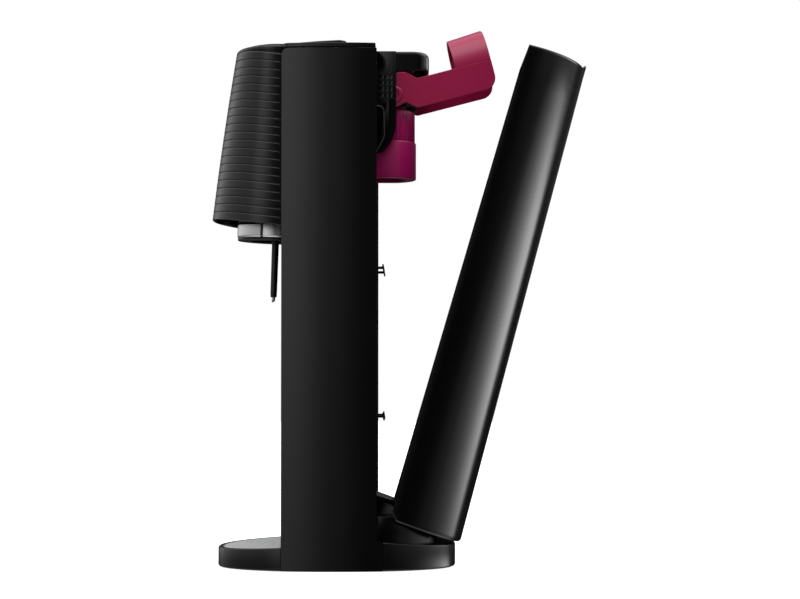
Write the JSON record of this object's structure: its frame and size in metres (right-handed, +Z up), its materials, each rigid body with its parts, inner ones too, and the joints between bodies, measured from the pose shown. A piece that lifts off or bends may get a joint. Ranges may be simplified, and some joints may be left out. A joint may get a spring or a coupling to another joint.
{
  "type": "soda carbonator",
  "caption": "Upright home soda carbonator with a tilting bottle nozzle, press button, gas cylinder bay, raised cylinder lever and leaning rear cover.",
  "frame": {"origin": "middle of the base's underside, where the machine stands on the worktop", "axes": "+Z up; the front, with the nozzle and drip tray, faces -Y; +X is on the right of someone facing the machine"},
  "size_m": [0.148, 0.3022, 0.4328],
  "materials": {
    "satin_black": "satin moulded black plastic",
    "ribbed_black": "fine matt black plastic with moulded grooves",
    "cover_black": "semi-gloss black plastic",
    "inner_black": "plain matt black plastic",
    "tray_grey": "dotted grey plastic",
    "magenta": "satin magenta plastic",
    "bright_steel": "brushed bright metal",
    "steel": "plain steel",
    "brass": "turned brass",
    "rubber": "soft rubber"
  },
  "bodies": {
    "root": {"base_shell": "satin_black", "base_plate": "inner_black", "rubber_feet": "rubber", "base_screws": "steel", "side_panel_left": "satin_black", "side_panel_right": "satin_black", "front_panel": "satin_black", "column_frame": "inner_black", "top_cap": "satin_black", "cylinder_cradle": "inner_black", "cover_catches": "inner_black", "head_shell": "ribbed_black", "head_underside": "inner_black", "nozzle_bracket": "inner_black", "nozzle_pins": "steel", "valve_bracket": "inner_black", "bracket_screws": "steel", "valve_body": "brass", "valve_seal": "rubber", "relief_valve": "brass", "gas_hose": "rubber", "rocker_pin": "steel", "valve_housing": "cover_black", "lever_pins": "magenta", "button_spring": "steel"},
    "tray": {"drip_tray": "tray_grey"},
    "button": {"carbonating_button": "satin_black"},
    "rocker": {"rocker_lever": "inner_black"},
    "plunger": {"valve_plunger": "steel"},
    "nozzle": {"nozzle_body": "inner_black", "nozzle_collar": "bright_steel", "bottle_seal": "rubber", "carbonating_tube": "inner_black", "tube_tip": "steel"},
    "jaw_left_body": {"jaw_left": "inner_black"},
    "jaw_right_body": {"jaw_right": "inner_black"},
    "lever": {"cylinder_lever": "magenta"},
    "carriage": {"cylinder_carriage": "magenta", "carriage_cap": "inner_black"},
    "shoe": {"cover_shoe": "inner_black", "cover_pin": "steel"},
    "cover": {"rear_cover": "cover_black"}
  },
  "joints": [
    {"name": "tray_lift", "type": "slide", "parent": "root", "child": "tray", "axis": [0, 0, 1], "range_m": [0, 0.02]},
    {"name": "button_press", "type": "slide", "parent": "root", "child": "button", "axis": [0, 0, -1], "range_m": [0, 0.008], "stiffness_N_per_m": 250, "springref_m": -0.005, "deforming": ["button_spring"]},
    {"name": "rocker_swing", "type": "hinge", "parent": "root", "child": "rocker", "pos_m": [0, 0.058, 0.4045], "axis": [1, 0, 0], "range_deg": [0, 6.3]},
    {"name": "plunger_slide", "type": "slide", "parent": "root", "child": "plunger", "axis": [0, 0, -1], "range_m": [0, 0.0027]},
    {"name": "nozzle_tilt", "type": "hinge", "parent": "root", "child": "nozzle", "pos_m": [0, -0.03, 0.312], "axis": [-1, 0, 0], "range_deg": [-1.9, 9]},
    {"name": "jaw_left_slide", "type": "slide", "parent": "nozzle", "child": "jaw_left_body", "axis": [-1, 0, 0], "range_m": [-0.0004, 0.0016]},
    {"name": "jaw_right_slide", "type": "slide", "parent": "nozzle", "child": "jaw_right_body", "axis": [1, 0, 0], "range_m": [-0.0004, 0.0016]},
    {"name": "lever_swing", "type": "hinge", "parent": "root", "child": "lever", "pos_m": [0, 0.0468, 0.3775], "axis": [-1, 0, 0], "range_deg": [0, 104.5]},
    {"name": "carriage_lift", "type": "slide", "parent": "root", "child": "carriage", "axis": [0, 0, 1], "range_m": [0, 0.0055]},
    {"name": "cover_slide", "type": "slide", "parent": "root", "child": "shoe", "axis": [0, 0.9969, -0.079], "range_m": [-0.0075, 0]},
    {"name": "cover_tilt", "type": "hinge", "parent": "shoe", "child": "cover", "pos_m": [0, 0.09, 0.027], "axis": [1, 0, 0], "range_deg": [0, 3.8]}
  ],
  "couplings": [
    {"joint": "rocker_swing", "follows": "button_press", "rad_per_m": 13.51},
    {"joint": "plunger_slide", "follows": "button_press", "ratio": 0.3243},
    {"joint": "jaw_left_slide", "follows": "nozzle_tilt", "m_per_rad": 0.0095},
    {"joint": "jaw_right_slide", "follows": "nozzle_tilt", "m_per_rad": 0.0095},
    {"joint": "carriage_lift", "follows": "lever_swing", "m_per_rad": 0.003015}
  ]
}
